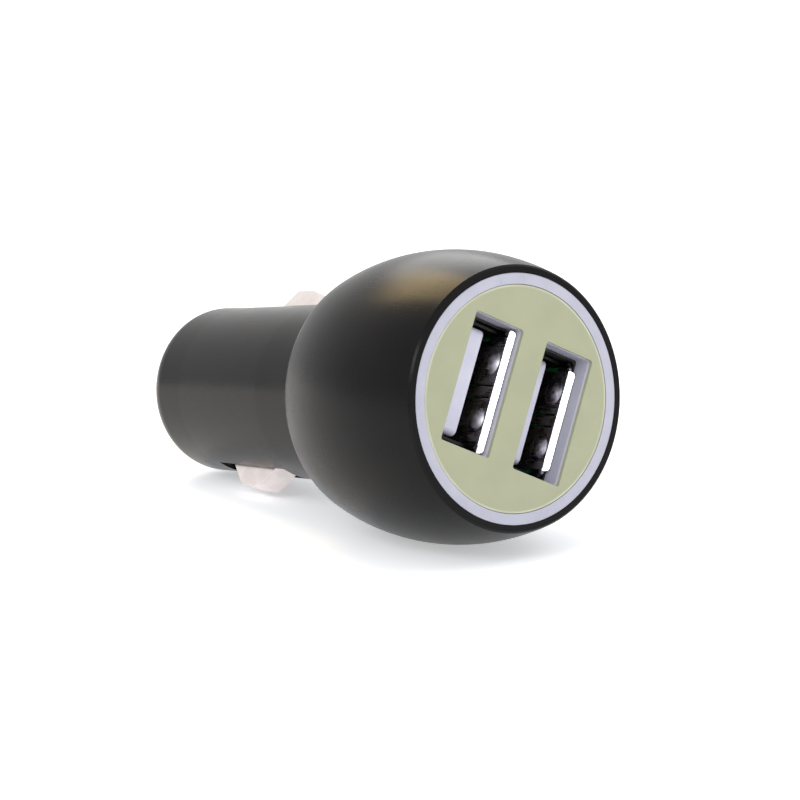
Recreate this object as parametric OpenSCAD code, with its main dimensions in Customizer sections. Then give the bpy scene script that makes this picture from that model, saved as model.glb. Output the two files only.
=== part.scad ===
// Twin-port car charger for a 12 V accessory socket, in millimetres.
// Z runs along the axis from the face, at z = 0, to the plug's tip.
// X runs across the two ports and Y along them; the rim of the face is what it stands on.

/* [Head] */
// Largest diameter of the egg-shaped head
head_d = 32.6; // [32.2:0.1:34]
// Height of the widest circle above the face
belly_z = 11.8; // [11.4:0.1:12.4]
// Radius that rounds the rear of the head
rear_r = 5.4; // [5:0.1:5.8]
// Wall of the head
head_wall = 1.9; // [1.6:0.1:2.1]

/* [Face] */
// Outer diameter of the light ring
ring_d = 27; // [26.6:0.1:27.2]
// Radial width of the light ring
ring_w = 1.18; // [1.04:0.02:1.3]
// Radial width of the black rim round the ring
rim_w = 0.92; // [0.8:0.02:1.1]
// Distance between the centres of the two ports
port_pitch = 10.1; // [10:0.05:10.4]
// Length of each port well in the light guide
well_l = 14.2; // [14:0.1:14.6]
// Width of each port well in the light guide
well_w = 6.5; // [6.46:0.02:6.7]
// Thickness of the face plate
plate_t = 0.4; // [0.3:0.05:0.6]
// How far the plate's openings stand back from the wells
plate_back = 0.1; // [0.05:0.05:0.2]
// Sideways slip of the plate's openings against the wells
plate_slip = 0.15; // [0:0.05:0.2]

/* [Ports] */
// Height of the first port's mouth above the face plane
mouth_z_left = 0.8; // [0.7:0.05:1]
// Height of the second port's mouth above the face plane
mouth_z_right = 1.95; // [1.8:0.05:2.1]
// How far each tongue lies inside its mouth
tongue_in = 1.5; // [1.4:0.05:1.7]

/* [Plug] */
// Diameter of the barrel next to the head
barrel_d = 20.8; // [20.6:0.05:20.9]
// Diameter of the barrel's straight end, which guides it in the socket
guide_d = 20.2; // [20:0.05:20.4]
// Height of the barrel's end above the face
barrel_end = 60.8; // [60.4:0.1:62]
// Wall of the barrel
barrel_wall = 1.4; // [1.3:0.05:1.5]
// Diameter of the metal nose cap
cap_d = 16; // [15.8:0.1:16.4]

/* [Contacts] */
// Radius that a relaxed side contact reaches
reach_r = 12.3; // [12:0.05:12.5]
// Width of each side contact
leaf_w = 3; // [2.8:0.1:3.4]
// Sheet thickness of each side contact
leaf_t = 0.4; // [0.35:0.01:0.45]
// Diameter of the tip contact
tip_d = 6.6; // [6.2:0.1:6.8]
// How far the tip contact stands out of the cap
tip_out = 4.6; // [4.2:0.1:5]
// Wire of the tip spring
spring_wire = 0.6; // [0.5:0.05:0.7]
// Turns of the tip spring
spring_turns = 7; // [6:0.5:8]

/* [Board] */
// Thickness of both circuit boards
board_t = 1.2; // [1:0.1:1.2]
// Diameter of the drum choke
choke_d = 7.8; // [7:0.1:8]
// Diameter of the can capacitors
can_d = 6.3; // [6:0.1:6.4]

/* [Show] */
// Piece to build

/* [Hidden] */
$fn = 96;

// Head profile: a belly arc that meets the rim's edge, then a smaller arc round the rear
ring_r = ring_d / 2;
bore_gap = 0.05;
bore_r = ring_r + bore_gap;
edge_cut = 0.22;
rim_r = ring_r + rim_w;
head_r = head_d / 2;
sag = head_r - rim_r;
rise = belly_z - edge_cut;
belly_r = (rise * rise + sag * sag) / (2 * sag);
belly_x = head_r - belly_r;
rear_z = belly_z + 9.5;
rear_sin = (rear_z - belly_z) / (belly_r - rear_r);
rear_cos = sqrt(1 - rear_sin * rear_sin);
rear_x = belly_x + (belly_r - rear_r) * rear_cos;
join_z = belly_z + belly_r * rear_sin;
ledge_z = 5;
ledge_t = 1.2;
ledge_r = bore_r - 0.95;
collar_z = 21.8;
collar_t = 1.8;
collar_r = barrel_d / 2 + 1;
shoulder_z = collar_z + collar_t;

// Face stack
plate_z = 0.15;
web_z = plate_z + plate_t;
web_end = 1.3;
plate_r = ring_r - ring_w - 0.07;
collar_wall = 0.6;
deck_z = 2.6;
carrier_r = bore_r - 0.08;
ring_z = 0.08;
leg_gap_y = ring_r - ring_w - 0.5;
led_y = ring_r - 1.2;
led_notch = 5;

// Receptacle of the standard A type
port_in = [5.12, 12.5];
steel = 0.3;
port_out = [port_in[0] + 2 * steel, port_in[1] + 2 * steel];
lip_l = 0.6;
lip_w_left = 13.8;
lip_w_right = 11.4;
lip_flare = 0.48;
lip_t = 0.2;
shell_l = 14.6;
tongue_x = [-1.86, -0.02];
tongue_w = 11.9;
block_z = 11.8;
block_l = 2.6;
bump_y = 3.2;
bump_z = 2.3;
bump_r = 2.35;
bump_out = 0.5;
finger_z = 1;
finger_w = 4.8;
finger_l = 5.4;
slit = 0.25;
slot_w = 0.5;
end_back = 1.4;
pin_y = [-3.5, -1, 1, 3.5];
pin_w = 1;
pin_t = 0.25;
leg_w = 0.6;
leg_z = 14.95;
leg_out = 0.7;
tab_z = 6;
tab_w = 1.8;

// Boards
board_gap = 0.04;
port_x = port_pitch / 2;
main_x = -port_x + port_out[0] / 2 + board_gap;
main_far = main_x + board_t;
side_x = port_x + port_out[0] / 2 + board_gap;
side_far = side_x + board_t;
link_z = 20;
link_y = [-3.81, -1.27, 1.27, 3.81];
pin_sq = 0.6;
bore_in = barrel_d / 2 - barrel_wall - 0.3;
board_wide = led_y + 0.4;
board_end = 44;
choke_z = 26.9;
choke_h = 5.8;
in_can_h = 7.6;
out_can_z = 26.5;
out_can_h = bore_in + main_x - 1.75;
tail_y = bore_in - 2.5;

// Side contact: a rolled eye, an arm, a cheeked bow out through the window and a hooked end
eye_y = bore_in - 1.45;
eye_z = 33;
eye_r = 0.62;
eye_gap = 0.05;
arm_y = eye_y + eye_r - leaf_t / 2;
bow_z = [43, 46.5];
bow_bend = 1.2;
hook_z = 52.6;
hook_y = bore_in - 0.8;
cheek_y = bore_in + 0.4;
window_z = [37.8, 52.2];
window_w = leaf_w + 0.9;

// Barrel and nose
taper_z = [36, 53.6];
thread_r = cap_d / 2 - 1.3;
thread_z = 54.8;
nose_round = 3.2;
nose_drop = 2.7;
cap_t = 1.6;
cap_z = barrel_end + cap_t;
cap_in = 5.2;
tip_gap = 0.05;
tip_r = tip_d / 2;
flange_r = 4.85;
flange_t = 1.4;
flange_z = barrel_end - 0.2 - flange_t;
tip_end = cap_z + tip_out;
seat_z = 47;
seat_t = 0.6;
spring_r = 2.95;
spring_low = seat_z + seat_t;

// Arc of points round [cx, cy] from angle a0 to a1, for bent sheet paths
function arc(cx, cy, r, a0, a1, n = 8) =
    [for (i = [0 : n]) [cx + r * cos(a0 + (a1 - a0) * i / n), cy + r * sin(a0 + (a1 - a0) * i / n)]];
function unit(v) = v / norm(v);
function side(v) = [-v[1], v[0]];
// Offset of a path point to one side, mitred between its two segments
function shifted(p, i, d) =
    let (a = unit(p[i] - p[max(i - 1, 0)] + (i == 0 ? p[1] - p[0] : [0, 0])),
         b = unit(p[min(i + 1, len(p) - 1)] - p[i] + (i == len(p) - 1 ? p[i] - p[i - 1] : [0, 0])),
         m = unit(side(a) + side(b)))
    p[i] + m * d / (m * side(a));
// Sheet of thickness t along a path
module sheet(p, t) {
    polygon(concat([for (i = [0 : len(p) - 1]) shifted(p, i, t / 2)],
        [for (i = [len(p) - 1 : -1 : 0]) shifted(p, i, -t / 2)]));
}
// Rectangle with round corners, centred
module rounded(size, r) {
    square([size[0] - 2 * r, size[1]], center = true);
    square([size[0], size[1] - 2 * r], center = true);
    for (sx = [-1, 1], sy = [-1, 1])
        translate([sx * (size[0] / 2 - r), sy * (size[1] / 2 - r)])
            circle(r = r, $fn = 32);
}
// Box given by its two corners
module block(a, b) {
    translate(a)
        cube(b - a);
}
// Cylinder along X from x0 to x1
module rod_x(x0, x1, r, y, z, facets = 48) {
    translate([x0, y, z])
        rotate([0, 90, 0])
            cylinder(h = x1 - x0, r = r, $fn = facets);
}

// Half profile of the head, inset by the given wall
module head_profile(inset) {
    intersection() {
        translate([belly_x, belly_z])
            circle(r = belly_r - inset, $fn = 240);
        square([head_r, join_z]);
    }
    intersection() {
        translate([rear_x, rear_z])
            circle(r = rear_r - inset, $fn = 120);
        translate([0, join_z - 0.01])
            square([head_r, 10]);
    }
    translate([0, join_z - 0.02])
        square([rear_x, rear_z + rear_r - inset - join_z + 0.02]);
}
module head_shell() {
    color([0.03, 0.03, 0.035])
        difference() {
            rotate_extrude($fn = 180)
                difference() {
                    intersection() {
                        head_profile(0);
                        union() {
                            translate([0, edge_cut])
                                square([head_r + 1, 40]);
                            polygon([[0, 0], [rim_r - edge_cut, 0], [rim_r, edge_cut], [0, edge_cut]]);
                        }
                    }
                    // Seat of the face, the cavity behind its ledge and the barrel's passage
                    translate([-1, -1])
                        square([bore_r + 1, ledge_z + 1]);
                    translate([-1, 0])
                        square([ledge_r + 1, 12]);
                    intersection() {
                        head_profile(head_wall);
                        translate([0, ledge_z + ledge_t])
                            square([head_r, shoulder_z - ledge_z - ledge_t]);
                    }
                    translate([-1, 0])
                        square([barrel_d / 2 + 0.02 + 1, 40]);
                }
            // Gaps in the ledge for the two light chips
            for (s = [-1, 1])
                block([main_x + board_t / 2 - led_notch / 2, s > 0 ? led_y - 1.3 : -led_y - 1.2, ledge_z - 0.01],
                    [main_x + board_t / 2 + led_notch / 2, s > 0 ? led_y + 1.2 : -led_y + 1.3, ledge_z + ledge_t + 0.01]);
        }
}

module barrel_profile() {
    r0 = barrel_d / 2;
    r1 = guide_d / 2;
    polygon([[0, collar_z], [collar_r, collar_z], [collar_r, shoulder_z], [r0, shoulder_z],
        [r0, taper_z[0]], [r1, taper_z[1]], [r1, barrel_end - nose_drop], [0, barrel_end - nose_drop]]);
    // Rounded end, cut off flat where the nose cap sits
    intersection() {
        translate([r1 - nose_round, barrel_end - nose_drop])
            circle(r = nose_round, $fn = 96);
        translate([0, barrel_end - nose_drop - 0.01])
            square([r1, nose_drop + 0.01]);
    }
    translate([0, barrel_end - nose_drop - 0.01])
        square([r1 - nose_round, nose_drop + 0.01]);
}
module barrel_shell() {
    color([0.035, 0.035, 0.04]) {
        difference() {
            rotate_extrude($fn = 144)
                difference() {
                    barrel_profile();
                    translate([-1, collar_z - 1])
                        square([bore_in + 1, thread_z - collar_z + 1]);
                    translate([-1, 0])
                        square([thread_r + 1, barrel_end + 1]);
                }
            // Windows that the side contacts bow out of
            for (s = [-1, 1])
                block([-window_w / 2, s > 0 ? bore_in - 2.7 : -barrel_d, window_z[0]],
                    [window_w / 2, s > 0 ? barrel_d : 2.7 - bore_in, window_z[1]]);
        }
        // Rails that hold the board's edges
        for (s = [-1, 1], x = [main_x - 1, main_far + 0.06])
            intersection() {
                block([x, s > 0 ? bore_in - 1.6 : -bore_in - 0.5, shoulder_z + 1],
                    [x + 0.94, s > 0 ? bore_in + 0.5 : 1.6 - bore_in, shoulder_z + 6.8]);
                cylinder(h = 60, r = bore_in + 0.4, $fn = 96);
            }
    }
}

// Light guide: the ring that shows round the plate, a web behind the plate and the two wells
module light_ring() {
    color([0.86, 0.87, 0.92]) {
        difference() {
            union() {
                translate([0, 0, ring_z])
                    difference() {
                        cylinder(h = deck_z - ring_z, r = ring_r, $fn = 144);
                        translate([0, 0, -1])
                            cylinder(h = deck_z + 1, r = ring_r - ring_w, $fn = 144);
                    }
                translate([0, 0, web_z])
                    cylinder(h = web_end - web_z, r = ring_r - ring_w + 0.2, $fn = 144);
                for (x = [-port_x, port_x])
                    translate([x, 0, web_z])
                        linear_extrude(height = deck_z - web_z)
                            rounded([well_w + 2 * collar_wall, well_l + 2 * collar_wall], 0.8);
            }
            for (x = [-port_x, port_x])
                translate([x, 0, -1])
                    linear_extrude(height = deck_z + 2)
                        rounded([well_w, well_l], 0.3);
        }
        // Legs that bring light forward from the two chips
        for (s = [-1, 1])
            intersection() {
                difference() {
                    cylinder(h = 5.1, r = ring_r, $fn = 144);
                    translate([0, 0, -1])
                        cylinder(h = 8, r = ring_r - ring_w, $fn = 144);
                }
                block([main_x + board_t / 2 - 1.5, s > 0 ? ring_r / 2 : -ring_d, deck_z - 0.3],
                    [main_x + board_t / 2 + 1.5, s > 0 ? ring_d : -ring_r / 2, 5.1]);
            }
    }
}

module face_plate() {
    color([0.72, 0.75, 0.56])
        translate([0, 0, plate_z])
            difference() {
                cylinder(h = plate_t, r = plate_r, $fn = 144);
                for (x = [-port_x, port_x])
                    translate([x + plate_slip, 0, -1])
                        linear_extrude(height = plate_t + 2)
                            rounded([well_w + 2 * plate_back, well_l + 2 * plate_back], 0.3);
            }
}

module face_carrier() {
    rest_z = web_end;
    color([0.05, 0.05, 0.055])
        difference() {
            union() {
                translate([0, 0, deck_z])
                    cylinder(h = ledge_z - deck_z, r = carrier_r, $fn = 144);
                translate([0, 0, rest_z])
                    difference() {
                        cylinder(h = deck_z - rest_z + 0.1, r = plate_r - 0.05, $fn = 144);
                        translate([0, 0, -1])
                            cylinder(h = 2, r = plate_r - 1.1, $fn = 96);
                    }
            }
            // Holes for the receptacles, room for the plate's wells and gaps for the ring's legs
            for (x = [-port_x, port_x]) {
                translate([x, 0, -1])
                    linear_extrude(height = 8)
                        rounded([port_out[0] + 0.36, port_out[1] + 0.6], 0.5);
                translate([x, 0, rest_z - 1])
                    linear_extrude(height = deck_z - rest_z + 1)
                        rounded([well_w + 2 * collar_wall + 0.06, well_l + 2 * collar_wall + 0.06], 0.8);
            }
            for (s = [-1, 1])
                block([main_x + board_t / 2 - 1.6, s > 0 ? leg_gap_y : -ring_d, deck_z - 0.01],
                    [main_x + board_t / 2 + 1.6, s > 0 ? ring_d : -leg_gap_y, 6]);
        }
}

// Lip that flares from one long side of the mouth, drawn towards +X
module flared_lip(half, width) {
    intersection() {
        translate([0, width / 2, 0])
            rotate([90, 0, 0])
                linear_extrude(height = width)
                    polygon([[half, lip_l + 0.05], [half, lip_l], [half + lip_flare, 0],
                        [half + lip_flare + lip_t * 0.7, lip_t * 0.7], [half + steel, lip_l], [half + steel, lip_l + 0.05]]);
        rotate([90, 0, 90])
            linear_extrude(height = 20) {
                translate([-width / 2, 0.45])
                    square([width, 2]);
                translate([-width / 2 + 0.45, 0])
                    square([width - 0.9, 2]);
                for (s = [-1, 1])
                    translate([s * (width / 2 - 0.45), 0.45])
                        circle(r = 0.45, $fn = 32);
            }
    }
}
module usb_shell(mouth_z, lip_w) {
    translate([0, 0, mouth_z]) {
        difference() {
            union() {
                translate([0, 0, lip_l])
                    linear_extrude(height = shell_l - lip_l)
                        difference() {
                            rounded(port_out, 0.7);
                            rounded(port_in, 0.4);
                        }
                for (a = [0, 180])
                    rotate([0, 0, a])
                        flared_lip(port_in[0] / 2, lip_w);
            }
            // Slits that free the two spring fingers of each long side, wide ones on the outer sides
            for (sx = [-1, 1], sy = [-1, 1])
                translate([sx * (port_in[0] / 2 + steel / 2), sy * bump_y, finger_z]) {
                    translate([0, -sy * (finger_w + slit) / 2, finger_l / 2])
                        cube([1, slit, finger_l], center = true);
                    translate([0, sy * (finger_w + slot_w) / 2, finger_l / 2])
                        cube([1, slot_w, finger_l], center = true);
                    translate([0, sy * (slot_w - slit) / 2, finger_l])
                        cube([1, finger_w + slit + slot_w, slit], center = true);
                }
            // The short sides stop short of the mouth, so that the long ones can flare
            for (s = [-1, 1])
                block([-port_in[0] / 2 + 0.45, s > 0 ? port_in[1] / 2 - 0.05 : -port_out[1] / 2 - 1, lip_l - 0.1],
                    [port_in[0] / 2 - 0.45, s > 0 ? port_out[1] / 2 + 1 : 0.05 - port_in[1] / 2, lip_l + end_back]);
        }
        // Domes on the fingers that press on the plug
        for (a = [0, 180], y = [-bump_y, bump_y])
            rotate([0, 0, a])
                translate([port_in[0] / 2, y, bump_z])
                    rotate([0, -90, 0])
                        rotate_extrude($fn = 48)
                            intersection() {
                                translate([0, bump_out - bump_r])
                                    circle(r = bump_r, $fn = 72);
                                translate([0, -steel / 2])
                                    square([bump_r, bump_out + steel]);
                            }
        // Tabs that are soldered into the board
        for (s = [-1, 1])
            block([port_out[0] / 2 - 0.8, s > 0 ? port_in[1] / 2 : -port_out[1] / 2, tab_z],
                [port_out[0] / 2 + board_gap + board_t + 0.6, s > 0 ? port_out[1] / 2 : -port_in[1] / 2, tab_z + tab_w]);
    }
}
module usb_core(mouth_z) {
    difference() {
        translate([0, 0, mouth_z]) {
            translate([tongue_x[0], 0, 0])
                rotate([90, 0, 90])
                    linear_extrude(height = tongue_x[1] - tongue_x[0]) {
                        translate([-tongue_w / 2, tongue_in + 0.7])
                            square([tongue_w, block_z - tongue_in - 0.6]);
                        translate([-tongue_w / 2 + 0.7, tongue_in])
                            square([tongue_w - 1.4, 2]);
                        for (s = [-1, 1])
                            translate([s * (tongue_w / 2 - 0.7), tongue_in + 0.7])
                                circle(r = 0.7, $fn = 32);
                    }
            block([-port_in[0] / 2 + 0.03, -port_in[1] / 2 + 0.3, block_z],
                [port_in[0] / 2 - 0.03, port_in[1] / 2 - 0.3, block_z + block_l]);
        }
        // Grooves and slots of the four contacts
        for (y = pin_y)
            block([tongue_x[1] - 0.16, y - pin_w / 2 - 0.05, mouth_z + tongue_in + 0.75],
                [tongue_x[1] + 0.12, y + pin_w / 2 + 0.05, mouth_z + block_z + block_l + 1]);
    }
}
module usb_pins(mouth_z) {
    x0 = tongue_x[1] - 0.15;
    end_x = port_out[0] / 2 + board_gap + board_t + leg_out;
    for (y = pin_y) {
        block([x0, y - pin_w / 2, mouth_z + tongue_in + 0.8], [x0 + pin_t, y + pin_w / 2, mouth_z + leg_z + pin_t]);
        block([x0, y - leg_w / 2, mouth_z + leg_z], [end_x, y + leg_w / 2, mouth_z + leg_z + pin_t]);
        // Raised spot that rubs on the plug's contact
        intersection() {
            translate([x0 - 1.6 + pin_t + 0.25, y, mouth_z + tongue_in + 2.6])
                rotate([90, 0, 0])
                    cylinder(h = pin_w - 0.2, r = 1.6, center = true, $fn = 48);
            block([x0 + 0.05, y - 1, mouth_z + tongue_in + 0.8], [x0 + 2, y + 1, mouth_z + tongue_in + 5]);
        }
    }
}
module usb_shell_left() {
    color([0.8, 0.8, 0.82])
        translate([-port_x, 0, 0])
            usb_shell(mouth_z_left, lip_w_left);
}
module usb_shell_right() {
    color([0.8, 0.8, 0.82])
        translate([port_x, 0, 0])
            usb_shell(mouth_z_right, lip_w_right);
}
module usb_core_left() {
    color([0.82, 0.82, 0.9])
        translate([-port_x, 0, 0])
            usb_core(mouth_z_left);
}
module usb_core_right() {
    color([0.82, 0.82, 0.9])
        translate([port_x, 0, 0])
            usb_core(mouth_z_right);
}
module usb_pins_left() {
    color([0.85, 0.68, 0.3])
        translate([-port_x, 0, 0])
            usb_pins(mouth_z_left);
}
module usb_pins_right() {
    color([0.85, 0.68, 0.3])
        translate([port_x, 0, 0])
            usb_pins(mouth_z_right);
}

// Holes for one receptacle's legs and tabs, through a board whose near face is at x
module port_holes(x, mouth_z) {
    for (y = pin_y)
        rod_x(x - 0.2, x + board_t + 0.2, 0.45, y, mouth_z + leg_z + pin_t / 2, 24);
    for (s = [-1, 1])
        block([x - 0.2, s * port_in[1] / 2 + (s > 0 ? -0.1 : -steel - 0.1), mouth_z + tab_z - 0.1],
            [x + board_t + 0.2, s * port_in[1] / 2 + (s > 0 ? steel + 0.1 : 0.1), mouth_z + tab_z + tab_w + 0.1]);
}
module link_holes(x) {
    for (y = link_y)
        rod_x(x - 0.2, x + board_t + 0.2, 0.5, y, link_z, 24);
}
module main_board() {
    color([0.1, 0.3, 0.16])
        difference() {
            union() {
                block([main_x, 1.4 - ledge_r, 5.3], [main_far, ledge_r - 1.4, collar_z - 1.2]);
                block([main_x, -board_wide, 6.9], [main_far, board_wide, 12]);
                block([main_x, 0.65 - bore_in, collar_z - 1.3], [main_far, bore_in - 0.65, eye_z - 2]);
                block([main_x, -tail_y, eye_z - 2.1], [main_far, tail_y, board_end]);
            }
            for (s = [-1, 1])
                rod_x(main_x - 0.2, main_far + 0.2, 0.32, s * 1.25, board_end - 0.9, 24);
            port_holes(main_x, mouth_z_left);
            link_holes(main_x);
        }
}
module port_board() {
    color([0.1, 0.3, 0.16])
        difference() {
            block([side_x, -7.6, 5.4], [side_far, 7.6, 21.4]);
            port_holes(side_x, mouth_z_right);
            link_holes(side_x);
        }
}
module link_block() {
    color([0.06, 0.06, 0.06])
        difference() {
            block([main_far, -5.08, link_z - 1.25], [main_far + 2.5, 5.08, link_z + 1.25]);
            for (y = link_y) {
                block([main_far - 1, y - pin_sq / 2 - 0.01, link_z - pin_sq / 2 - 0.01],
                    [main_far + 4, y + pin_sq / 2 + 0.01, link_z + pin_sq / 2 + 0.01]);
                // Corners cut between neighbours, as on a breakaway strip
                for (s = [-1, 1])
                    translate([main_far - 1, y + s * 1.27, link_z])
                        for (t = [-1, 1])
                            translate([0, 0, t * 1.25])
                                rotate([45, 0, 0])
                                    cube([8, 0.5, 0.5], center = true);
            }
        }
}
module link_pins() {
    color([0.85, 0.68, 0.3])
        for (y = link_y)
            block([main_x - 0.7, y - pin_sq / 2, link_z - pin_sq / 2],
                [side_far + 0.7, y + pin_sq / 2, link_z + pin_sq / 2]);
}

module choke_core() {
    color([0.16, 0.16, 0.17])
        translate([main_far, 0, choke_z])
            rotate([0, 90, 0])
                rotate_extrude($fn = 72)
                    polygon([[0, 0], [choke_d / 2, 0], [choke_d / 2, 0.9], [choke_d / 4, 1.1],
                        [choke_d / 4, choke_h - 1.1], [choke_d / 2, choke_h - 0.9], [choke_d / 2, choke_h], [0, choke_h]]);
}
module choke_winding() {
    turns = 8;
    low = 1.2;
    pitch = (choke_h - 2 * low) / turns;
    color([0.72, 0.36, 0.16])
        translate([main_far, 0, choke_z])
            rotate([0, 90, 0])
                rotate_extrude($fn = 72) {
                    translate([choke_d / 4 + 0.02, low])
                        square([choke_d / 4 - 0.5, choke_h - 2 * low]);
                    for (i = [0 : turns - 1])
                        translate([choke_d / 2 - 0.5, low + pitch * (i + 0.5)])
                            circle(r = pitch / 2, $fn = 24);
                }
}
// Can capacitor along +Z with a crimped groove, its base at z = 0
module can(h) {
    rotate_extrude($fn = 72)
        difference() {
            union() {
                square([can_d / 2, h - 0.35]);
                square([can_d / 2 - 0.35, h]);
                translate([can_d / 2 - 0.35, h - 0.35])
                    intersection() {
                        circle(r = 0.35, $fn = 32);
                        square([1, 1]);
                    }
            }
            translate([can_d / 2 + 0.15, 1.3])
                circle(r = 0.45, $fn = 32);
        }
}
module input_capacitor() {
    x = main_far + can_d / 2 + 0.05;
    color([0.2, 0.22, 0.3]) {
        translate([x, 0, board_end - 1.8])
            mirror([0, 0, 1])
                can(in_can_h);
        // Leads that run back and bend into the board
        for (s = [-1, 1])
            translate([0, s * 1.25, 0]) {
                translate([x, 0, board_end - 1.9])
                    cylinder(h = 1.15, r = 0.25, $fn = 24);
                rod_x(main_x - 0.4, x + 0.25, 0.25, 0, board_end - 0.9, 24);
            }
    }
}
module output_capacitor() {
    color([0.75, 0.75, 0.77]) {
        translate([main_x - 0.6, 0, out_can_z])
            rotate([0, -90, 0])
                can(out_can_h);
        block([main_x - 0.6, -can_d / 2, out_can_z - can_d / 2], [main_x, can_d / 2, out_can_z + can_d / 2]);
    }
}
// Small flat chip with legs on two sides, its base on the board at x = 0, rising towards -X
module chip(l, w, h, legs) {
    block([-h - 0.1, -w / 2, -l / 2], [-0.1, w / 2, l / 2]);
    pitch = l / legs;
    for (i = [0 : legs - 1], s = [-1, 1])
        translate([0, 0, -l / 2 + pitch * (i + 0.5)]) {
            block([-h / 2 - 0.2, s > 0 ? w / 2 - 0.01 : -w / 2 - 0.6, -0.2], [-h / 2, s > 0 ? w / 2 + 0.6 : -w / 2 + 0.01, 0.2]);
            block([-h / 2 - 0.2, s > 0 ? w / 2 + 0.4 : -w / 2 - 0.6, -0.2], [0, s > 0 ? w / 2 + 0.6 : -w / 2 - 0.4, 0.2]);
            block([-0.2, s > 0 ? w / 2 + 0.4 : -w / 2 - 1.1, -0.2], [0, s > 0 ? w / 2 + 1.1 : -w / 2 - 0.4, 0.2]);
        }
}
module control_chip() {
    color([0.08, 0.08, 0.085])
        translate([main_x, 0, 35.2])
            chip(4.9, 3.9, 1.5, 4);
}
module port_chip() {
    color([0.08, 0.08, 0.085])
        translate([side_far, 0, 11])
            mirror([1, 0, 0])
                chip(2.9, 1.6, 1.1, 3);
}
module diode() {
    color([0.1, 0.1, 0.1]) {
        block([main_far + 0.1, -2.1, 31.3], [main_far + 2.1, 2.1, 33.9]);
        for (s = [-1, 1])
            block([main_far, s > 0 ? 1.6 : -2.6, 31.9], [main_far + 0.3, s > 0 ? 2.6 : -1.6, 33.3]);
    }
}
module chip_parts() {
    color([0.72, 0.6, 0.45]) {
        for (p = [[4.2, 8], [8.4, 8], [-5, 8.4], [5.2, 12.5], [-5.6, 13]])
            block([main_far, p[0] - 0.6, p[1] - 1], [main_far + 0.9, p[0] + 0.6, p[1] + 1]);
        for (p = [[-4.4, 40.2], [4.4, 40.2], [0, 39.6]])
            block([main_x - 0.9, p[0] - 0.6, p[1] - 1], [main_x, p[0] + 0.6, p[1] + 1]);
    }
}
module light_chips() {
    color([0.93, 0.92, 0.8])
        for (s = [-1, 1])
            translate([main_x + board_t / 2, s * led_y, 0]) {
                block([-0.9, -0.4, 5.3], [0.9, 0.4, 6.5]);
                block([-0.6, -0.35, 6.4], [0.6, 0.35, 6.9]);
            }
}

// Holder on the board's edge: three quarters of a bore round the contact's eye
module contact_holder() {
    difference() {
        block([-2.6, tail_y, eye_z - 1.2], [2.6, eye_y + 0.9, eye_z + 1.1]);
        rod_x(-4, 4, eye_r + eye_gap, eye_y, eye_z);
        block([-4, eye_y - 0.3, eye_z], [4, eye_y + 2, eye_z + 2]);
    }
}
module contact_holder_a() {
    color([0.78, 0.7, 0.5])
        mirror([0, 1, 0])
            contact_holder();
}
module contact_holder_b() {
    color([0.78, 0.7, 0.5])
        contact_holder();
}
// Centre line of the leaf in [z, y]
function leaf_path() =
    let (top = reach_r - leaf_t / 2, b = bow_bend, rise_a = 42, fall_a = 40)
    concat([[eye_z, arm_y]],
        arc(window_z[0] - 0.4, arm_y + 1.5, 1.5, -90, -90 + rise_a, 6),
        arc(bow_z[0] + 0.4, top - b, b, 90 + rise_a, 90, 6),
        arc(bow_z[1] - 0.4, top - b, b, 90, 90 - fall_a, 6),
        arc(hook_z - 0.7, hook_y + 1.2, 1.2, 270 - fall_a, 270, 5),
        [[hook_z, hook_y]]);
module side_contact() {
    rod_x(-leaf_w / 2, leaf_w / 2, eye_r, eye_y, eye_z);
    translate([-leaf_w / 2, 0, 0])
        rotate([90, 0, 90])
            linear_extrude(height = leaf_w)
                sheet([for (p = leaf_path()) [p[1], p[0]]], leaf_t);
    // Cheeks folded down from the bow's sides
    for (x = [-leaf_w / 2, leaf_w / 2 - leaf_t])
        translate([x, 0, 0])
            rotate([90, 0, 90])
                linear_extrude(height = leaf_t)
                    intersection() {
                        polygon([for (p = leaf_path()) [p[1], p[0]]]);
                        translate([cheek_y, 0])
                            square([10, 60]);
                    }
}
module side_contact_a() {
    color([0.85, 0.82, 0.78])
        mirror([0, 1, 0])
            side_contact();
}
module side_contact_b() {
    color([0.85, 0.82, 0.78])
        side_contact();
}

module spring_seat() {
    color([0.8, 0.68, 0.4]) {
        translate([0, 0, seat_z])
            cylinder(h = seat_t, r = spring_r + 0.95, $fn = 72);
        translate([0, 0, seat_z])
            cylinder(h = 2.2, r = spring_r - spring_wire / 2 - 0.2, $fn = 72);
        block([main_x - 0.4, -0.8, board_end - 2.4], [main_x, 0.8, seat_z + 0.1]);
    }
}
// Wire section of the coil as the horizontal plane cuts it: a crescent round the axis
function crescent(pitch, n) =
    let (span = 360 * spring_wire / 2 / pitch)
    [for (i = [0 : 2 * n - 1])
        let (k = i < n ? i / n : (2 * n - i) / n, s = i < n ? 1 : -1, f = -span + 2 * span * k,
             r = spring_r + s * spring_wire / 2 * sqrt(max(0, 1 - pow(f / span, 2))))
        [r * cos(f), r * sin(f)]];
module tip_spring() {
    h = flange_z - spring_low;
    pitch = h / spring_turns;
    color([0.75, 0.75, 0.76])
        translate([0, 0, spring_low])
            linear_extrude(height = h, twist = -360 * spring_turns, slices = 18 * spring_turns, convexity = 10, $fn = 16)
                polygon(crescent(pitch, 8));
}
module tip_contact() {
    color([0.86, 0.84, 0.8])
        rotate_extrude($fn = 96) {
            // Tail inside the spring, flange, stem and rounded end
            translate([0, flange_z - 3.2])
                square([spring_r - spring_wire / 2 - 0.2, 3.3]);
            translate([0, flange_z])
                square([flange_r, flange_t]);
            translate([0, flange_z])
                square([tip_r, tip_end - tip_r * 0.8 - flange_z]);
            intersection() {
                translate([0, tip_end - tip_r * 0.8 - 0.01])
                    square([tip_r, tip_r]);
                translate([0, tip_end - tip_r * 1.025])
                    circle(r = tip_r * 1.025, $fn = 96);
            }
        }
}
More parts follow.
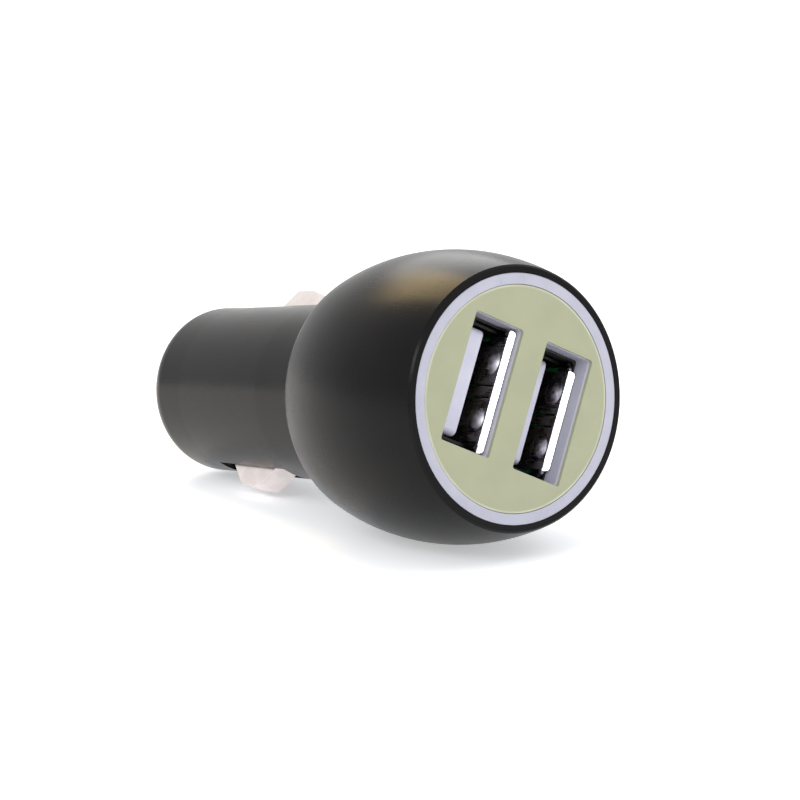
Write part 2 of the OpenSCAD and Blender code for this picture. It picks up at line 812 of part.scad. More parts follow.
module nose_cap() {
    color([0.82, 0.8, 0.78])
        rotate_extrude($fn = 120)
            difference() {
                union() {
                    translate([0, thread_z + 0.4])
                        square([thread_r - 0.05, barrel_end - thread_z]);
                    translate([0, barrel_end])
                        square([cap_d / 2 - 0.8, cap_t]);
                    translate([0, barrel_end])
                        square([cap_d / 2, cap_t - 0.8]);
                    translate([cap_d / 2 - 0.8, cap_z - 0.8])
                        circle(r = 0.8, $fn = 48);
                }
                translate([-1, thread_z - 1])
                    square([cap_in + 1, barrel_end - 0.2 - thread_z + 1]);
                translate([-1, thread_z])
                    square([tip_r + tip_gap + 1, 20]);
            }
}

head_shell();
barrel_shell();
light_ring();
face_plate();
face_carrier();
usb_shell_left();
usb_core_left();
usb_pins_left();
usb_shell_right();
usb_core_right();
usb_pins_right();
main_board();
port_board();
link_block();
link_pins();
choke_core();
choke_winding();
input_capacitor();
output_capacitor();
control_chip();
port_chip();
diode();
chip_parts();
light_chips();
contact_holder_a();
contact_holder_b();
side_contact_a();
side_contact_b();
spring_seat();
tip_spring();
tip_contact();
nose_cap();
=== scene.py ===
# %% [markdown]
# # Dressing a twin-port car charger
#
# The charger is a black, egg-headed plug for a car's accessory socket. Its
# solids come from the CAD model. This lesson gives them their finishes, eases
# the edges of the contacts and the cap, and sets up a small photo studio
# round them. Every piece is a CAD solid, apart from the tip spring, which is
# wound here. Lengths are in metres, unless a name or a comment says
# millimetres.

# %% Load the solids
import math

import bpy
import numpy as np
from mathutils import Matrix, Vector


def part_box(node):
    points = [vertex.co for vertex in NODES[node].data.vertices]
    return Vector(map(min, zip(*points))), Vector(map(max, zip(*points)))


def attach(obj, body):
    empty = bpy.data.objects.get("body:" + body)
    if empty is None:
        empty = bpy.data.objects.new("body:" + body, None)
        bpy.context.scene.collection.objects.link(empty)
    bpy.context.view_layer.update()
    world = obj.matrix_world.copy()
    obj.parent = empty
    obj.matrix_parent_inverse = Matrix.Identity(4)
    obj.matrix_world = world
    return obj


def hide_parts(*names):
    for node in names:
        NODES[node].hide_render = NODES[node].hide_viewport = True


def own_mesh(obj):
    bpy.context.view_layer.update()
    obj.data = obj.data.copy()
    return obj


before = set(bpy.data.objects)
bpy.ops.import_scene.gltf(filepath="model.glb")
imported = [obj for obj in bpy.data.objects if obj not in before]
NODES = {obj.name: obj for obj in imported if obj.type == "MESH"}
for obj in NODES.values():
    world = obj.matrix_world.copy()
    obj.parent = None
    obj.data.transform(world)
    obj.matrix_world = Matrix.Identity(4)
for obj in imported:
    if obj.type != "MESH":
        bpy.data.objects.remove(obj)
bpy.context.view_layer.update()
MM = 0.001

# %% [markdown]
# ## The view
#
# The charger stands on the rim of its face in the CAD frame, with its axis
# upright, but it lies on its side in the photograph. The charger isn't moved
# for that. The camera is turned instead, so that the picture's upright
# direction is a sideways one here. The face is an ellipse in the photograph,
# which gives how far it is turned away, and the ports' sides give the spin.

# %% The camera
TURN = math.radians(35.6)                           # how far the face is turned away from the eye
TIP = math.radians(1.25)                            # how far the face looks down in the picture
SPIN = math.radians(-18.5)                          # how far the ports are turned about the face's axis
FACE_AT = np.array([12.63, -0.1, 288.7]) * MM       # centre of the face seen from the eye: right, down, away
PITCH = math.radians(10.7)                          # how far the camera looks down at the table
FOCAL = 2700.0                                      # focal length in pixels
PICTURE = 800.0                                     # width of the picture in pixels

face_out = np.array([math.sin(TURN) * math.cos(TIP), math.sin(TIP), -math.cos(TURN) * math.cos(TIP)])
level = np.cross([0.0, -1.0, 0.0], face_out)
level /= np.linalg.norm(level)
steep = np.cross(face_out, level)
across = math.cos(SPIN) * level + math.sin(SPIN) * steep
along = -math.sin(SPIN) * level + math.cos(SPIN) * steep
to_row = np.array([across, -along, -face_out])      # from the eye's directions to the charger's

eye = to_row @ -FACE_AT
right, down, away = to_row.T
table_up = to_row @ np.array([0.0, -math.cos(PITCH), -math.sin(PITCH)])

lens = bpy.data.cameras.new("studio_camera")
lens.sensor_width = 36.0
lens.lens = FOCAL / PICTURE * lens.sensor_width
lens.clip_start, lens.clip_end = 0.01, 20.0
camera = bpy.data.objects.new("studio_camera", lens)
bpy.context.scene.collection.objects.link(camera)
turn = Matrix([[right[i], -down[i], -away[i]] for i in range(3)]).to_4x4()
camera.matrix_world = Matrix.Translation(Vector(eye)) @ turn
bpy.context.scene.camera = camera
print("eye in mm:", np.round(eye / MM, 1), "lens in mm:", round(lens.lens, 1))

# %% [markdown]
# ## Small helpers for shaders
#
# A material is a little graph. These helpers add a node, set its plain values
# and join two sockets, so that each finish below reads as a short recipe.


# %% Node helpers
def add(tree, kind, **properties):
    """Adds a shader node of a kind and sets its properties."""
    node = tree.nodes.new("ShaderNode" + kind)
    for key, value in properties.items():
        setattr(node, key, value)
    return node


def put(node, **values):
    """Sets plain values on a node's sockets; an underscore in a name stands for a space."""
    for key, value in values.items():
        node.inputs[key.replace("_", " ")].default_value = value
    return node


def feed(tree, socket, value):
    """Gives a socket a number, a colour of three numbers, or the result of another node."""
    if isinstance(value, (int, float)):
        socket.default_value = value
    elif isinstance(value, tuple):
        socket.default_value = (*value, 1.0)
    else:
        tree.links.new(value, socket)


def work_out(tree, kind, *values, clamp=False):
    """One step of arithmetic on up to three values, each a number or a socket."""
    node = add(tree, "Math", operation=kind, use_clamp=clamp)
    for socket, value in zip(node.inputs, values):
        feed(tree, socket, value)
    return node.outputs[0]


def distance(tree, a, b):
    """The length of the long side of a right-angled triangle, from its two short ones."""
    squares = work_out(tree, "ADD", work_out(tree, "POWER", a, 2.0), work_out(tree, "POWER", b, 2.0))
    return work_out(tree, "SQRT", squares)


def spread(tree, value, low, high, to_low=0.0, to_high=1.0, smooth=True):
    """Maps low..high of a value onto to_low..to_high, with a soft start and end if smooth."""
    node = add(tree, "MapRange", interpolation_type="SMOOTHSTEP" if smooth else "LINEAR")
    put(node, From_Min=low, From_Max=high, To_Min=to_low, To_Max=to_high)
    tree.links.new(value, node.inputs["Value"])
    return node.outputs[0]


def blend_colours(tree, share, first, second):
    """Mixes two colours, each a triple or a socket, by a share from 0 to 1."""
    node = add(tree, "Mix", data_type="RGBA")
    for place_in_node, value in ((0, share), (6, first), (7, second)):    # its colour sockets are 6 and 7
        feed(tree, node.inputs[place_in_node], value)
    return node.outputs[2]


def seen_white(tree):
    """1 for a ray of the camera, from a mirror or through glass, and 0 for a ray that only lights things."""
    ray = add(tree, "LightPath").outputs
    mirrored = work_out(tree, "MAXIMUM", ray["Is Glossy Ray"], ray["Is Transmission Ray"])
    return work_out(tree, "MAXIMUM", ray["Is Camera Ray"], mirrored)


# %% [markdown]
# ## The studio
#
# The photograph shows the charger lying on a pale table in very soft light,
# with everything behind it burnt out to white. The table is one large sheet
# that touches the belly of the head, which is the lowest point. It is solid
# from the charger's side and clear from behind, so that a look from below
# isn't blocked. A second sheet under the face is the floor for looks at the
# charger standing up. Only the camera sees it.


# %% Table and floor
SHEET_REACH = 2.2                # how far a sheet reaches from its middle
PAPER_GLOW = 0.42                # what the paper adds to the light on it, for rays that see the background
FLOOR_GAP = 0.05 * MM            # how far the floor lies under the face


def on_table(direction):
    """The part of a direction that lies flat on the table."""
    return direction - table_up * (direction @ table_up)


def pale_paper(name, tint):
    """Pale matt paper that glows for the eye, mirrors and glass, keeps shadows and is clear from behind."""
    paper = bpy.data.materials.new(name)
    paper.use_nodes = True
    tree = paper.node_tree
    tree.nodes.clear()
    matt = put(add(tree, "BsdfDiffuse"), Color=(*tint, 1.0))
    light = put(add(tree, "Emission"), Color=(1.0, 1.0, 1.0, 1.0))
    tree.links.new(work_out(tree, "MULTIPLY", seen_white(tree), PAPER_GLOW), light.inputs["Strength"])
    both, clear, pick = add(tree, "AddShader"), add(tree, "BsdfTransparent"), add(tree, "MixShader")
    tree.links.new(matt.outputs[0], both.inputs[0])
    tree.links.new(light.outputs[0], both.inputs[1])
    tree.links.new(add(tree, "NewGeometry").outputs["Backfacing"], pick.inputs[0])
    tree.links.new(both.outputs[0], pick.inputs[1])
    tree.links.new(clear.outputs[0], pick.inputs[2])
    tree.links.new(pick.outputs[0], add(tree, "OutputMaterial").inputs[0])
    return paper


def sheet(name, centre, side_a, side_b, paper):
    """A square sheet of paper round a centre, with its sides along two directions."""
    corners = []
    for a, b in ((-1, -1), (1, -1), (1, 1), (-1, 1)):
        corners.append(Vector(centre + SHEET_REACH * (a * side_a + b * side_b)))
    mesh = bpy.data.meshes.new(name)
    mesh.from_pydata(corners, [], [(0, 1, 2, 3)])
    mesh.materials.append(paper)
    piece = bpy.data.objects.new(name, mesh)
    bpy.context.scene.collection.objects.link(piece)
    return piece


def reach_against(direction):
    """How far the solids reach from the charger's origin, against a direction."""
    reach = []
    for node in NODES.values():
        points = np.empty(3 * len(node.data.vertices))
        node.data.vertices.foreach_get("co", points)
        reach.append(np.max(-points.reshape(-1, 3) @ direction))
    return float(max(reach))


table_drop = reach_against(table_up)      # the charger's lowest point just touches the table
print("table lies", round(table_drop / MM, 3), "mm under the charger's origin")
table = sheet("table", -table_up * table_drop, on_table(right), np.cross(table_up, right),
              pale_paper("table_paper", (0.86, 0.88, 0.93)))
x_way, y_way, z_way = np.eye(3)
floor = sheet("floor", -z_way * FLOOR_GAP, x_way, y_way, pale_paper("floor_paper", (0.86, 0.87, 0.90)))
floor.visible_diffuse = floor.visible_glossy = floor.visible_transmission = floor.visible_shadow = False
for piece, out in ((table, table_up), (floor, z_way)):
    print(piece.name, "faces the charger:", piece.data.polygons[0].normal @ Vector(out) > 0)

# %% [markdown]
# ### Light
#
# Three soft boxes light the charger: a wide one above and behind, a cooler
# one like a window at the front left, and a warm one that gives the gold
# sheen on the head's shoulder. A small card near the face lifts the plate a
# little, and is left out of mirrors. The world is white to the eye, in
# mirrors and through glass, and lights the charger with a slightly warmer
# white from the front than from behind.


# %% Lamps and world
charger_mid = np.array([0.0, 0.0, 20.0]) * MM
side_back = on_table(away)
side_back /= np.linalg.norm(side_back)


def studio_point(at):
    """The point so far right, up and back of the charger in the picture."""
    return Vector(right * at[0] + table_up * at[1] + side_back * at[2] + charger_mid)


def soft_box(name, at, size, power, colour=(1.0, 1.0, 1.0), aim=(0.0, 0.0, 0.0)):
    """A rectangular lamp at a studio point, with its two sides in metres, aimed at another studio point."""
    lamp = bpy.data.lights.new(name, "AREA")
    lamp.shape, lamp.size, lamp.size_y = "RECTANGLE", size[0], size[1]
    lamp.energy, lamp.color = power, colour
    box = bpy.data.objects.new(name, lamp)
    box.rotation_mode = "QUATERNION"
    box.location = studio_point(at)
    box.rotation_quaternion = (studio_point(aim) - studio_point(at)).to_track_quat("-Z", "Y")
    bpy.context.scene.collection.objects.link(box)
    return box


soft_box("back_box", (-0.06, 0.40, 0.60), (0.40, 0.30), 0.95)
soft_box("window", (-0.20, 0.29, -0.40), (0.16, 0.16), 0.55, (0.98, 0.99, 1.0))
face_card = soft_box("face_card", (0.085, 0.075, -0.045), (0.04, 0.04), 0.016, aim=(0.012, 0.0, -0.016))
face_card.visible_glossy = False
soft_box("warm_box", (-0.165, 0.36, 0.25), (0.20, 0.20), 0.85, (1.0, 0.74, 0.36))

FRONT_WHITE, BACK_WHITE = (0.98, 0.98, 0.94), (0.80, 0.82, 0.86)
FRONT_TO_BACK = (-0.3, 0.4)          # where one turns into the other: the cosine of the angle from straight back

world = bpy.data.worlds.new("white_room")
bpy.context.scene.world = world
world.use_nodes = True
tree = world.node_tree
tree.nodes.clear()
backward = add(tree, "VectorMath", operation="DOT_PRODUCT")
backward.inputs[1].default_value = Vector(side_back)
tree.links.new(add(tree, "TexCoord").outputs["Generated"], backward.inputs[0])
behind = spread(tree, backward.outputs["Value"], *FRONT_TO_BACK)
lamp_light = put(add(tree, "Background"), Strength=1.05)
tree.links.new(blend_colours(tree, behind, FRONT_WHITE, BACK_WHITE), lamp_light.inputs["Color"])
white_light = put(add(tree, "Background"), Color=(1.0, 1.0, 1.0, 1.0), Strength=1.0)
pick = add(tree, "MixShader")
tree.links.new(seen_white(tree), pick.inputs[0])
tree.links.new(lamp_light.outputs[0], pick.inputs[1])
tree.links.new(white_light.outputs[0], pick.inputs[2])
tree.links.new(pick.outputs[0], add(tree, "OutputWorld").inputs[0])
bpy.context.scene.view_settings.view_transform = "Standard"

# %% [markdown]
# ## Effects that several finishes share
#
# Three node groups are built once. Mould grain is the fine spark texture of
# an injection mould, with a slow mottle that breaks up the gloss. Rub marks
# are fine scratches that run one way. Turned edge marks a circle round the
# charger's axis, such as the edge of the rim, where handling polishes it.


# %% Groups
def open_group(name, values):
    """Starts a node group with float inputs, and returns it with its two end nodes."""
    group = bpy.data.node_groups.new(name, "ShaderNodeTree")
    for key, number in values.items():
        socket = group.interface.new_socket(name=key, in_out="INPUT", socket_type="NodeSocketFloat")
        socket.default_value = number
    return group, group.nodes.new("NodeGroupInput"), group.nodes.new("NodeGroupOutput")


def close_group(group, end, results):
    """Names the group's results and joins them to its end node."""
    for key in results:
        group.interface.new_socket(name=key, in_out="OUTPUT", socket_type="NodeSocketFloat")
    for key, socket in results.items():
        group.links.new(socket, end.inputs[key])


def noise(tree, size, detail=2.0, rough=0.5, stretch=None):
    """Noise whose grains have a size in millimetres, a number or a socket, maybe stretched along the axes."""
    where = add(tree, "TexCoord").outputs["Object"]
    if stretch:
        squeeze = put(add(tree, "Mapping"), Scale=stretch)
        tree.links.new(where, squeeze.inputs["Vector"])
        where = squeeze.outputs[0]
    node = put(add(tree, "TexNoise"), Detail=detail, Roughness=rough)
    tree.links.new(where, node.inputs["Vector"])
    feed(tree, node.inputs["Scale"], work_out(tree, "DIVIDE", 1.0 / MM, size))
    return node.outputs[0]


MOTTLE_SPAN = (0.35, 0.65)           # the part of the slow noise that goes from one tone to the other
MARK_SPAN = (0.52, 0.66)             # the part of the streaky noise that turns into a scratch
MARK_STRETCH = (1.0, 1.0, 0.06)      # scratches are drawn out along the charger's axis
RUBBED_PATCH = 4.0                   # size of the patches that are scratched, in mm

grain_group, start, end = open_group("mould_grain", {"Grain mm": 0.12, "Mottle mm": 6.0})
fine = noise(grain_group, start.outputs["Grain mm"], 3.0, 0.6)
slow = noise(grain_group, start.outputs["Mottle mm"], 2.0, 0.5)
close_group(grain_group, end, {"Grain": fine, "Mottle": spread(grain_group, slow, *MOTTLE_SPAN)})

rub_group, start, end = open_group("rub_marks", {"Mark mm": 0.25, "Cover": 0.5})
streaks = noise(rub_group, start.outputs["Mark mm"], 2.0, 0.6, MARK_STRETCH)
patch = noise(rub_group, RUBBED_PATCH, 2.0, 0.5)
rubbed = work_out(rub_group, "LESS_THAN", patch, start.outputs["Cover"])
marks = work_out(rub_group, "MULTIPLY", spread(rub_group, streaks, *MARK_SPAN), rubbed)
close_group(rub_group, end, {"Marks": marks})

edge_group, start, end = open_group("turned_edge", {"Radius mm": 14.0, "Height mm": 0.0, "Spread mm": 0.3})
split = add(edge_group, "SeparateXYZ")
edge_group.links.new(add(edge_group, "TexCoord").outputs["Object"], split.inputs[0])
from_axis = work_out(edge_group, "MULTIPLY", distance(edge_group, split.outputs[0], split.outputs[1]), 1.0 / MM)
from_face = work_out(edge_group, "MULTIPLY", split.outputs[2], 1.0 / MM)
off_radius = work_out(edge_group, "SUBTRACT", from_axis, start.outputs["Radius mm"])
off_height = work_out(edge_group, "SUBTRACT", from_face, start.outputs["Height mm"])
off_circle = distance(edge_group, off_radius, off_height)
gap = work_out(edge_group, "DIVIDE", off_circle, start.outputs["Spread mm"])
close_group(edge_group, end, {"Edge": work_out(edge_group, "SUBTRACT", 1.0, gap, clamp=True)})
print("groups:", [group.name for group in bpy.data.node_groups])

# %% [markdown]
# ## One recipe for every finish
#
# Most finishes differ only in colour, gloss, grain and wear, so each is one
# call of the same recipe: its colour, a second colour that the mottle brings
# in, the gloss where the mottle is low and high, the size and depth of its
# grain, and the circles where it is worn.


# %% The recipe
GRAIN_IN_GLOSS = 0.25                # how much the grain varies the roughness
MARK_DEPTH = 0.8                     # depth of a scratch against the grain's
EDGE_POLISH = 0.45                   # how much smoother a worn circle is
SMOOTHEST = 0.04                     # no finish is smoother than this


def finish(name, colour, mottled, gloss, grain, mottle, metal=0.0,
           rub=None, edges=(), worn=None, paint=None, **plain):
    """Builds a finish from its colours, gloss and grain, with rub marks and worn circles on top.

    The grain has a size and a depth and the mottle has a size, in millimetres. Rub marks have a size in
    millimetres, a cover and what they add to the roughness. An edge has a radius, a height and a width in
    millimetres, and takes the worn colour. A paint step takes the tree and the colour so far, and returns
    another colour. Other values go to the shader's own sockets.
    """
    made = bpy.data.materials.new(name)
    made.use_nodes = True
    tree = made.node_tree
    shader = put(tree.nodes["Principled BSDF"], Metallic=metal, **plain)
    grain_size, grain_depth = grain
    group = put(add(tree, "Group", node_tree=grain_group), Grain_mm=grain_size, Mottle_mm=mottle)
    height, mottling = group.outputs["Grain"], group.outputs["Mottle"]
    tint = blend_colours(tree, mottling, colour, mottled)
    rough = spread(tree, mottling, 0.0, 1.0, gloss[0], gloss[1], smooth=False)
    uneven = work_out(tree, "SUBTRACT", height, 0.5)
    rough = work_out(tree, "MULTIPLY_ADD", uneven, GRAIN_IN_GLOSS * gloss[1], rough)
    if rub:
        mark_size, cover, rub_rough = rub
        marks = put(add(tree, "Group", node_tree=rub_group), Mark_mm=mark_size, Cover=cover).outputs["Marks"]
        rough = work_out(tree, "MULTIPLY_ADD", marks, rub_rough, rough)
        height = work_out(tree, "MULTIPLY_ADD", marks, -MARK_DEPTH, height)
    for radius, at, wide in edges:
        ring = put(add(tree, "Group", node_tree=edge_group), Radius_mm=radius, Height_mm=at, Spread_mm=wide)
        patchy = work_out(tree, "MULTIPLY_ADD", mottling, 0.5, 0.5)
        broken = work_out(tree, "MULTIPLY", ring.outputs["Edge"], patchy)
        tint = blend_colours(tree, broken, tint, worn)
        rough = work_out(tree, "MULTIPLY_ADD", broken, -EDGE_POLISH * gloss[0], rough)
    if paint:
        tint = paint(tree, tint)
    tree.links.new(tint, shader.inputs["Base Color"])
    tree.links.new(work_out(tree, "MAXIMUM", rough, SMOOTHEST), shader.inputs["Roughness"])
    bump = put(add(tree, "Bump"), Distance=grain_depth * MM, Strength=1.0)
    tree.links.new(height, bump.inputs["Height"])
    tree.links.new(bump.outputs[0], shader.inputs["Normal"])
    return made


def place(tree, axis):
    """A point's place along an axis, in millimetres."""
    parts = add(tree, "SeparateXYZ")
    tree.links.new(add(tree, "TexCoord").outputs["Object"], parts.inputs[0])
    return work_out(tree, "MULTIPLY", parts.outputs[axis], 1.0 / MM)


dressed = []


def dress(coat, *names):
    """Gives CAD nodes a finish."""
    for name in names:
        slots = NODES[name].data.materials
        slots.clear()
        slots.append(coat)
        dressed.append(name)


# %% [markdown]
# ## Black mouldings
#
# The head is a satin black moulding whose rim is polished, and the barrel is
# a duller one. Both are almost black, so their form is read from what they
# mirror: the white all round and the soft boxes above. Both mirror less than
# clear plastic would, which is matched to the photograph and not measured.

# %% Head, barrel and carrier
RIM_EDGE = (14.3, 0.1, 0.2)          # radius, height and width in mm, as all the edges below
NOSE_ROUND, NECK_EDGE = (9.6, 59.8, 0.9), (11.4, 23.6, 0.4)

head_black = finish("satin_black_head", (0.0022, 0.0020, 0.0024), (0.0034, 0.0030, 0.0036), (0.25, 0.31),
                    (0.10, 0.0018), 9.0, rub=(0.3, 0.42, 0.03), edges=(RIM_EDGE,), worn=(0.004, 0.004, 0.005),
                    IOR=1.24)
barrel_black = finish("dull_black_barrel", (0.003, 0.0026, 0.0030), (0.0046, 0.0042, 0.0048), (0.20, 0.25),
                      (0.14, 0.0022), 7.0, rub=(0.35, 0.5, 0.03), edges=(NOSE_ROUND, NECK_EDGE),
                      worn=(0.02, 0.02, 0.022), IOR=1.29)
inner_black = finish("black_carrier", (0.012, 0.012, 0.013), (0.018, 0.018, 0.019), (0.45, 0.55),
                     (0.18, 0.008), 5.0)
dress(head_black, "head_shell")
dress(barrel_black, "barrel_shell")
dress(inner_black, "face_carrier", "contact_holder_a", "contact_holder_b", "spring_seat", "link_block")

# %% [markdown]
# ## Face
#
# The face plate is a satin olive sheet with a slight metallic sheen, and the
# ring round it is a milky light guide that looks lavender next to it.

# %% Plate and ring
PLATE_EDGE = (12.2, 0.15, 0.25)

plate_olive = finish("olive_plate", (0.385, 0.398, 0.270), (0.365, 0.378, 0.256), (0.34, 0.40),
                     (0.05, 0.0012), 5.0, metal=0.15, rub=(0.12, 0.5, 0.06), edges=(PLATE_EDGE,),
                     worn=(0.62, 0.63, 0.5), IOR=1.45)
milk_ring = finish("milky_guide", (0.440, 0.440, 0.535), (0.470, 0.470, 0.565), (0.28, 0.36), (0.2, 0.001),
                   3.0, rub=(0.2, 0.4, 0.08), IOR=1.49)
dress(plate_olive, "face_plate")
dress(milk_ring, "light_ring")

# %% [markdown]
# ## Metal
#
# The receptacles are drawn from tinned steel, the side contacts, the tip and
# the nose cap are plated with nickel, and the four contacts in each port with
# gold. Shade is painted into the receptacles' steel at their end walls and
# deep inside.

# %% Shells, contacts and cap
MOUTHS = {"left": 0.8, "right": 1.95}    # how far each receptacle's mouth lies behind the face's rim, in mm
END_WALL = (5.95, 6.15)                  # where the end walls start, from the middle of the receptacle, in mm
BEHIND_LIP = (0.50, 0.60)                # where painted shade starts on the end walls, behind the mouth, in mm
DEEP, DEEP_SHADE_SHARE = (1.0, 5.0), 0.55      # where painted shade darkens the steel inside, in mm, and how strong it gets


def paint_shade_inside(mouth):
    """Paints shade into a receptacle's steel: near black on its end walls behind the lip, and darker deep
    inside. Darkens a receptacle's steel as in the photograph, where why it is dark isn't known.
    """
    def paint(tree, tint):
        depth = work_out(tree, "SUBTRACT", place(tree, "Z"), mouth)
        sideways = work_out(tree, "ABSOLUTE", place(tree, "Y"))
        ends = work_out(tree, "MULTIPLY", spread(tree, sideways, *END_WALL), spread(tree, depth, *BEHIND_LIP))
        deep = spread(tree, depth, *DEEP, 0.0, DEEP_SHADE_SHARE)
        # painted shade, near black
        return blend_colours(tree, work_out(tree, "MAXIMUM", ends, deep), tint, (0.03, 0.028, 0.028))
    return paint


for side, mouth in MOUTHS.items():
    # each receptacle's steel has shade painted inside it
    steel = finish("tinned_steel_" + side, (0.74, 0.73, 0.76), (0.66, 0.65, 0.68), (0.22, 0.34),
                   (0.08, 0.001), 2.5, metal=1.0, rub=(0.12, 0.55, 0.18), paint=paint_shade_inside(mouth))
    dress(steel, "usb_shell_" + side)

CAP_EDGE, TIP_END = (8.0, 62.4, 0.5), (3.3, 67.0, 1.2)

satin_nickel = finish("satin_nickel", (0.86, 0.79, 0.77), (0.80, 0.73, 0.71), (0.36, 0.46), (0.09, 0.002),
                      2.0, metal=1.0, rub=(0.15, 0.5, 0.12))
nickel = finish("nickel_plate", (0.56, 0.53, 0.49), (0.48, 0.455, 0.42), (0.22, 0.32), (0.07, 0.001), 2.0,
                metal=1.0, rub=(0.15, 0.5, 0.2), edges=(CAP_EDGE, TIP_END), worn=(0.68, 0.64, 0.58))
gold = finish("gold_plate", (0.86, 0.62, 0.28), (0.80, 0.55, 0.22), (0.18, 0.28), (0.06, 0.0008), 1.5,
              metal=1.0, rub=(0.1, 0.5, 0.15))
spring_wire = finish("spring_wire", (0.50, 0.50, 0.52), (0.40, 0.40, 0.43), (0.25, 0.35), (0.06, 0.001), 1.5,
                     metal=1.0, rub=(0.1, 0.5, 0.15))
dress(satin_nickel, "side_contact_a", "side_contact_b")
dress(nickel, "nose_cap", "tip_contact")
dress(gold, "usb_pins_left", "usb_pins_right", "link_pins")
dress(spring_wire, "tip_spring")


SHARP = math.radians(28)                 # edges that turn by more than this are eased


def ease(wide, *names):
    """Rounds the sharp edges of CAD nodes inwards, by a width in millimetres."""
    for name in names:
        edge = NODES[name].modifiers.new("eased_edges", "BEVEL")
        edge.width, edge.segments = wide * MM, 3
        edge.limit_method, edge.angle_limit = "ANGLE", SHARP


ease(0.12, "side_contact_a", "side_contact_b")
ease(0.15, "nose_cap")

# %% [markdown]
# ## Inside
#
# These pieces show only through the ports and windows, but each has its own
# finish, because the charger may be opened up or cut away later.

# %% Tongues, boards and parts
SHADE_ROOT = (3.6, 7.0)                    # where painted shade on the insulators starts and is full, from the face, in mm
TRACK_SPAN = (0.55, 0.65)            # the part of the wave that turns into a track


def paint_shade_root(tree, tint):
    """Paints shade into the insulators, darker away from the mouth."""
    # painted shade, near black
    return blend_colours(tree, spread(tree, place(tree, "Z"), *SHADE_ROOT), tint, (0.06, 0.06, 0.07))


def tracks(tree, tint):
    """Draws the boards' copper tracks as slightly paler bands under the green mask."""
    lanes = add(tree, "TexWave", wave_type="BANDS", bands_direction="Y")
    put(lanes, Scale=520.0, Distortion=6.0, Detail=1.0, Detail_Scale=90.0)
    tree.links.new(add(tree, "TexCoord").outputs["Object"], lanes.inputs["Vector"])
    return blend_colours(tree, spread(tree, lanes.outputs["Fac"], *TRACK_SPAN), tint, (0.03, 0.19, 0.07))


# the insulators have shade painted in away from the mouth
tongue_white = finish("tongue_white", (0.60, 0.60, 0.74), (0.66, 0.66, 0.78), (0.40, 0.50), (0.10, 0.002),
                      3.0, paint=paint_shade_root)
board_green = finish("board_green", (0.012, 0.10, 0.035), (0.018, 0.13, 0.045), (0.28, 0.36), (0.25, 0.002),
                     3.0, paint=tracks)
ferrite = finish("ferrite", (0.035, 0.033, 0.032), (0.055, 0.05, 0.048), (0.55, 0.7), (0.2, 0.01), 2.0)
copper = finish("enamelled_copper", (0.55, 0.20, 0.08), (0.62, 0.26, 0.10), (0.2, 0.3), (0.3, 0.01), 1.0,
                metal=0.9)
can_metal = finish("can_metal", (0.70, 0.71, 0.72), (0.62, 0.63, 0.65), (0.25, 0.34), (0.1, 0.002), 2.0,
                   metal=1.0)
chip_black = finish("chip_black", (0.016, 0.016, 0.017), (0.022, 0.022, 0.023), (0.5, 0.6), (0.12, 0.006),
                    2.0)
small_parts = finish("small_parts", (0.42, 0.30, 0.18), (0.36, 0.25, 0.15), (0.4, 0.5), (0.1, 0.004), 1.0)
chip_light = finish("chip_light", (0.80, 0.72, 0.30), (0.74, 0.66, 0.24), (0.3, 0.4), (0.1, 0.002), 1.0)
dress(tongue_white, "usb_core_left", "usb_core_right")
dress(board_green, "main_board", "port_board")
dress(ferrite, "choke_core")
dress(copper, "choke_winding")
dress(can_metal, "input_capacitor", "output_capacitor")
dress(chip_black, "control_chip", "port_chip", "diode")
dress(small_parts, "chip_parts")
dress(chip_light, "light_chips")
print("dressed:", len(set(dressed)), "of", len(NODES), "missing:", sorted(set(NODES) - set(dressed)))

# %% [markdown]
# ## The tip spring
#
# The centre contact is pushed in against a spring. A CAD solid keeps its
# length when a joint moves, so the spring is wound here from round wire, in
# the place of its solid. Its end turns lie close, as on a real compression
# spring.

# %% Tip spring
SPRING_GAP = 0.02                    # free space at either end of the spring, in mm
SPRING_TURNS = 7
WIRE_R = 0.3                         # radius of the wire, in mm
CLOSED_PITCH = 2.05 * WIRE_R         # rise of a closed turn, a little over the wire's width, in mm
CLOSED_END = 0.8                     # share of a turn that is closed at either end
OPENING = 0.5                        # share of a turn in which the pitch opens


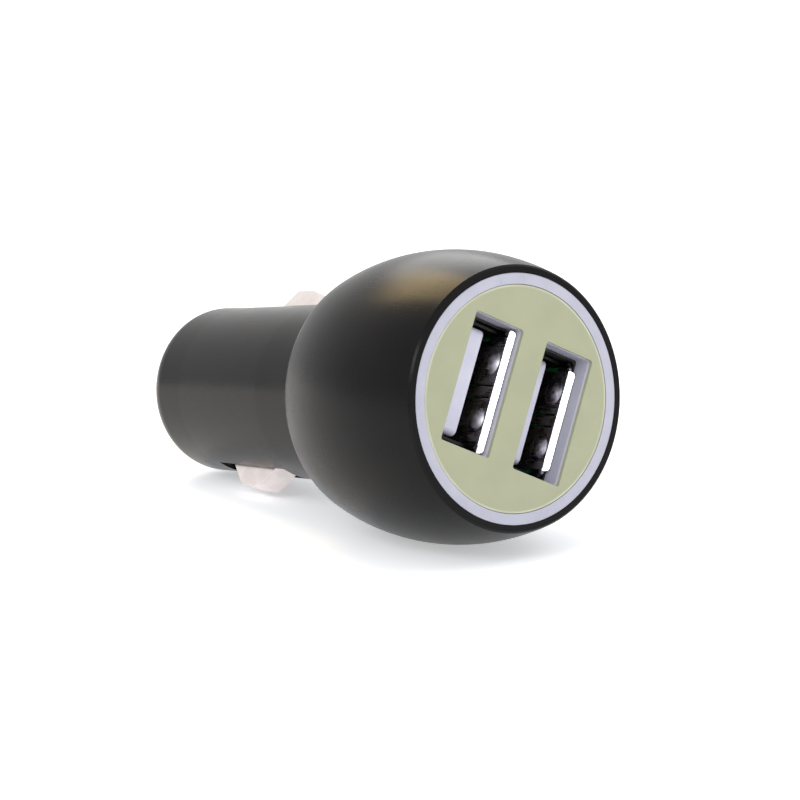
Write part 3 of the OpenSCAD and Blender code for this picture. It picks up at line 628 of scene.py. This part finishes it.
def wound(coil_radius, low, high, steps=64, sides=14):
    """Points of a wire wound round the axis, as a grid along the wire and round it, in millimetres.

    The wire rises by the closed pitch over each end turn and faster in between, and just reaches low and
    high. Each ring of points lies across the wire: one direction points away from the axis, the other is
    across both.
    """
    along_wire = np.linspace(0.0, SPRING_TURNS, SPRING_TURNS * steps + 1)
    from_end = np.minimum(along_wire, SPRING_TURNS - along_wire)
    opened = np.clip((from_end - CLOSED_END) / OPENING, 0.0, 1.0)
    share = opened ** 2 * (3.0 - 2.0 * opened)
    middle = np.cumsum(share) / np.sum(share)
    open_rise = high - low - 2.0 * WIRE_R - CLOSED_PITCH * SPRING_TURNS
    height = low + WIRE_R + CLOSED_PITCH * along_wire + open_rise * middle
    angle = 2.0 * np.pi * along_wire
    outward = np.stack([np.cos(angle), np.sin(angle), np.zeros_like(angle)], axis=1)
    centre = coil_radius * outward + height[:, None] * np.array([0.0, 0.0, 1.0])
    forward = np.gradient(centre, axis=0)
    forward /= np.linalg.norm(forward, axis=1, keepdims=True)
    sideways = np.cross(forward, outward)
    round_wire = np.linspace(0.0, 2.0 * np.pi, sides, endpoint=False)[None, :, None]
    ring = np.cos(round_wire) * outward[:, None, :] + np.sin(round_wire) * sideways[:, None, :]
    return centre[:, None, :] + WIRE_R * ring


def wire_piece(name, rings, coat, body):
    """Makes a closed, smooth piece from the rings of a wire in millimetres, with its two ends filled."""
    count, sides = rings.shape[:2]
    at = np.arange(count * sides).reshape(count, sides)
    beside = np.roll(at, -1, axis=1)
    faces = np.stack([at[:-1], beside[:-1], beside[1:], at[1:]], axis=-1).reshape(-1, 4).tolist()
    faces += [at[0, ::-1].tolist(), at[-1].tolist()]
    mesh = bpy.data.meshes.new(name)
    mesh.from_pydata(rings.reshape(-1, 3) * MM, [], faces)
    mesh.polygons.foreach_set("use_smooth", [len(face) == 4 for face in faces])
    mesh.update()
    mesh.materials.append(coat)
    piece = bpy.data.objects.new(name, mesh)
    bpy.context.scene.collection.objects.link(piece)
    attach(piece, body)
    return piece


solid_low, solid_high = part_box("tip_spring")
spring_low = solid_low[2] / MM + SPRING_GAP
spring_high = solid_high[2] / MM - SPRING_GAP
coil_r = solid_high[0] / MM - WIRE_R
spring = wire_piece("wound_spring", wound(coil_r, spring_low, spring_high), spring_wire, "charger")
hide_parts("tip_spring")
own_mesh(spring)
